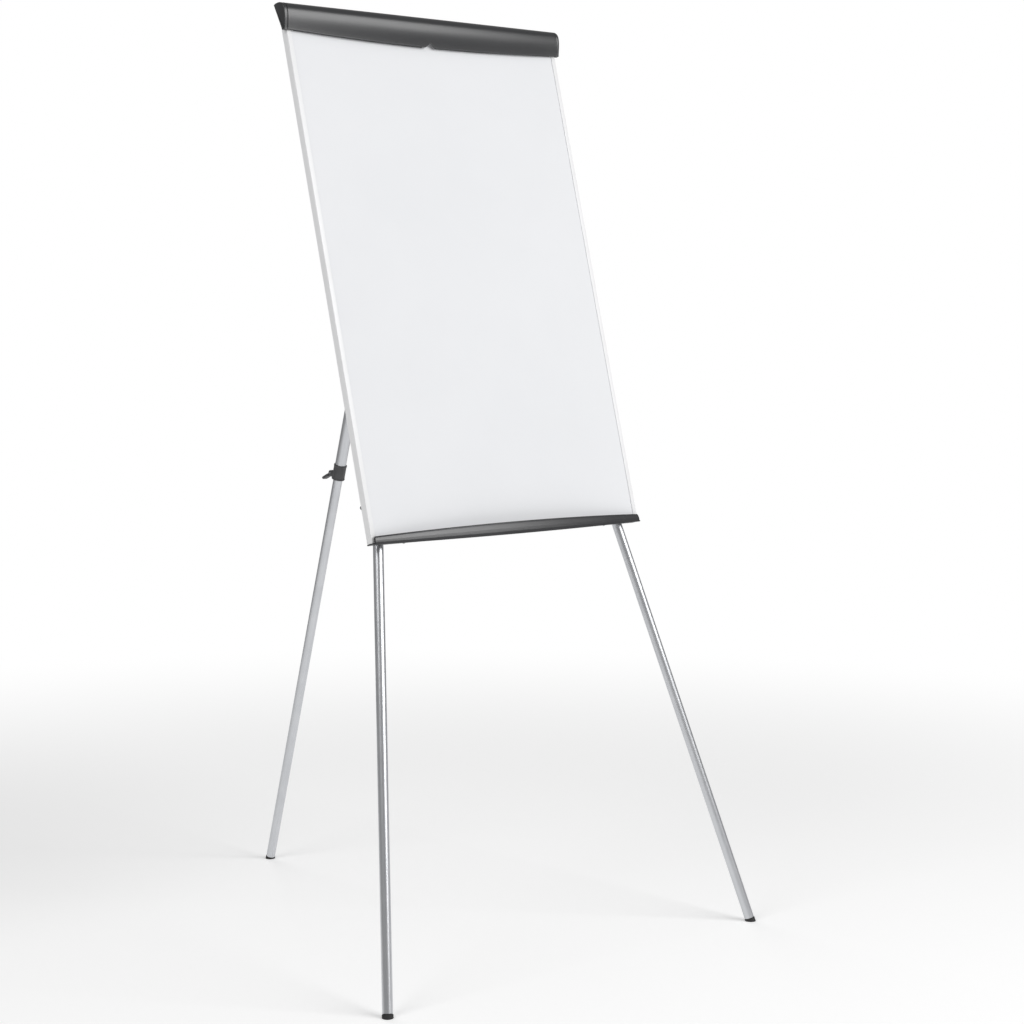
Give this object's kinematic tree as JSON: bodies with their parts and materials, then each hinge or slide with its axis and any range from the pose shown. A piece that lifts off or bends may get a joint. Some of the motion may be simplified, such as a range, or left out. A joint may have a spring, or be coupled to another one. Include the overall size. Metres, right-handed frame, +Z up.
{
  "type": "flipchart easel",
  "caption": "Free-standing flipchart easel: tilted framed whiteboard with a sprung pad clip and marker tray on telescopic folding legs.",
  "frame": {"origin": "on the floor under the middle of the standing easel's box", "axes": "+Z up, -Y towards the reader in front of the board, +X to the reader's right"},
  "size_m": [0.9694, 1.098, 1.8584],
  "materials": {
    "writing_surface": "gloss enamel",
    "core": "matte",
    "back_sheet": "satin",
    "frame": "satin moulded",
    "dark_plastic": "satin moulded",
    "black_plastic": "satin moulded",
    "rubber": "matte",
    "aluminium": "satin anodised",
    "steel": "zinc plated"
  },
  "bodies": {
    "board": {"face_sheet": "writing_surface", "core_board": "core", "back_sheet": "back_sheet", "frame_left": "frame", "frame_right": "frame", "frame_top": "frame", "frame_bottom": "frame", "marker_tray": "dark_plastic", "tray_screw_1": "steel", "tray_screw_2": "steel", "tray_screw_3": "steel", "clip_rail": "steel", "clip_spring_left": "steel", "clip_spring_right": "steel", "hub_bracket": "steel", "hub_screw_1": "steel", "hub_screw_2": "steel", "hub_screw_3": "steel", "hub_screw_4": "steel", "left_leg_pivot": "steel", "right_leg_pivot": "steel", "rear_leg_pivot": "steel", "left_saddle": "black_plastic", "right_saddle": "black_plastic", "left_saddle_screw": "steel", "right_saddle_screw": "steel"},
    "clip": {"clip_bar": "dark_plastic", "clip_cap_left": "dark_plastic", "clip_cap_right": "dark_plastic", "clip_pin": "steel", "grip_strip": "rubber"},
    "left_peg": {"pad_peg_left": "black_plastic"},
    "right_peg": {"pad_peg_right": "black_plastic"},
    "left_leg": {"left_leg_head": "black_plastic", "left_upper_tube": "aluminium", "left_collar": "black_plastic", "left_lever_pin": "steel"},
    "left_leg_extension": {"left_lower_tube": "aluminium", "left_slide_bush": "black_plastic", "left_foot": "rubber"},
    "left_clamp": {"left_lever": "black_plastic"},
    "right_leg": {"right_leg_head": "black_plastic", "right_upper_tube": "aluminium", "right_collar": "black_plastic", "right_lever_pin": "steel"},
    "right_leg_extension": {"right_lower_tube": "aluminium", "right_slide_bush": "black_plastic", "right_foot": "rubber"},
    "right_clamp": {"right_lever": "black_plastic"},
    "rear_leg": {"rear_leg_head": "black_plastic", "rear_upper_tube": "aluminium", "rear_collar": "black_plastic", "rear_lever_pin": "steel"},
    "rear_leg_extension": {"rear_lower_tube": "aluminium", "rear_slide_bush": "black_plastic", "rear_foot": "rubber"},
    "rear_clamp": {"rear_lever": "black_plastic"}
  },
  "joints": [
    {"name": "clip_hinge", "type": "hinge", "parent": "board", "child": "clip", "pos_m": [0, -0.03743, 1.84958], "axis": [-1, 0, 0], "range_deg": [0, 50], "stiffness_Nm_per_rad": 0.5, "springref_deg": -45.84},
    {"name": "left_peg_slide", "type": "slide", "parent": "board", "child": "left_peg", "axis": [1, 0, 0], "range_m": [-0.08, 0.09]},
    {"name": "right_peg_slide", "type": "slide", "parent": "board", "child": "right_peg", "axis": [-1, 0, 0], "range_m": [-0.08, 0.09]},
    {"name": "left_leg_fold", "type": "hinge", "parent": "board", "child": "left_leg", "pos_m": [-0.1221, -0.0257, 1.77075], "axis": [0, -0.9606, 0.2778], "range_deg": [0, 10.8]},
    {"name": "left_leg_slide", "type": "slide", "parent": "left_leg", "child": "left_leg_extension", "axis": [0.1874, 0.2729, 0.9436], "range_m": [0, 0.68]},
    {"name": "left_clamp_lever", "type": "hinge", "parent": "left_leg", "child": "left_clamp", "pos_m": [-0.29093, -0.25044, 0.91443], "axis": [0.9823, -0.0521, -0.18], "range_deg": [0, 100]},
    {"name": "right_leg_fold", "type": "hinge", "parent": "board", "child": "right_leg", "pos_m": [0.1221, -0.0257, 1.77075], "axis": [0, 0.9606, -0.2778], "range_deg": [0, 10.8]},
    {"name": "right_leg_slide", "type": "slide", "parent": "right_leg", "child": "right_leg_extension", "axis": [-0.1874, 0.2729, 0.9436], "range_m": [0, 0.68]},
    {"name": "right_clamp_lever", "type": "hinge", "parent": "right_leg", "child": "right_clamp", "pos_m": [0.29093, -0.25044, 0.91443], "axis": [0.9823, 0.0521, 0.18], "range_deg": [0, 100]},
    {"name": "rear_leg_fold", "type": "hinge", "parent": "board", "child": "rear_leg", "pos_m": [0, -0.01121, 1.76681], "axis": [-1, 0, 0], "range_deg": [0, 32]},
    {"name": "rear_leg_slide", "type": "slide", "parent": "rear_leg", "child": "rear_leg_extension", "axis": [0, -0.2967, 0.955], "range_m": [0, 0.68]},
    {"name": "rear_clamp_lever", "type": "hinge", "parent": "rear_leg", "child": "rear_clamp", "pos_m": [0, 0.27713, 0.91291], "axis": [1, 0, 0], "range_deg": [0, 100]}
  ]
}
